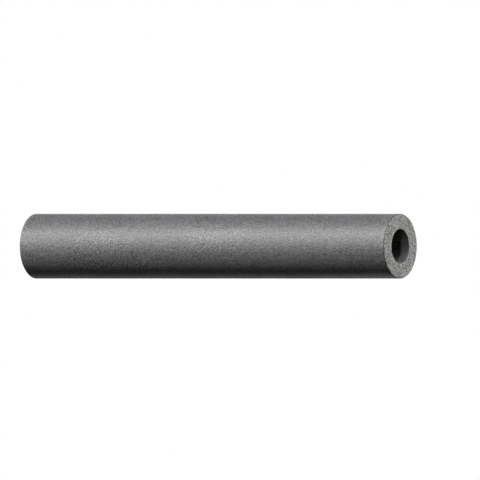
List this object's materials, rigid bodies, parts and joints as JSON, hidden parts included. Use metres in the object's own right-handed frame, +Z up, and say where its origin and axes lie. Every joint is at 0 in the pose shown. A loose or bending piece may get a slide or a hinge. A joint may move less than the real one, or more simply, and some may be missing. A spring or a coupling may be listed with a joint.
{
  "type": "pipe insulation lagging",
  "caption": "Straight length of grey closed-cell foam pipe lagging: a thick-walled round tube, cut square at both ends, that slips over a pipe to insulate it.",
  "frame": {"origin": "under the middle of the tube, on the surface that it lies on", "axes": "+X along the bore, +Z up"},
  "size_m": [0.353, 0.054, 0.054],
  "materials": {
    "polyethylene_foam": "dark grey closed-cell polyethylene foam: finely crinkled satin skin outside, smooth skin in the bore, paler open-celled cut ends"
  },
  "bodies": {
    "root": {"foam_tube": "polyethylene_foam"}
  },
  "joints": []
}
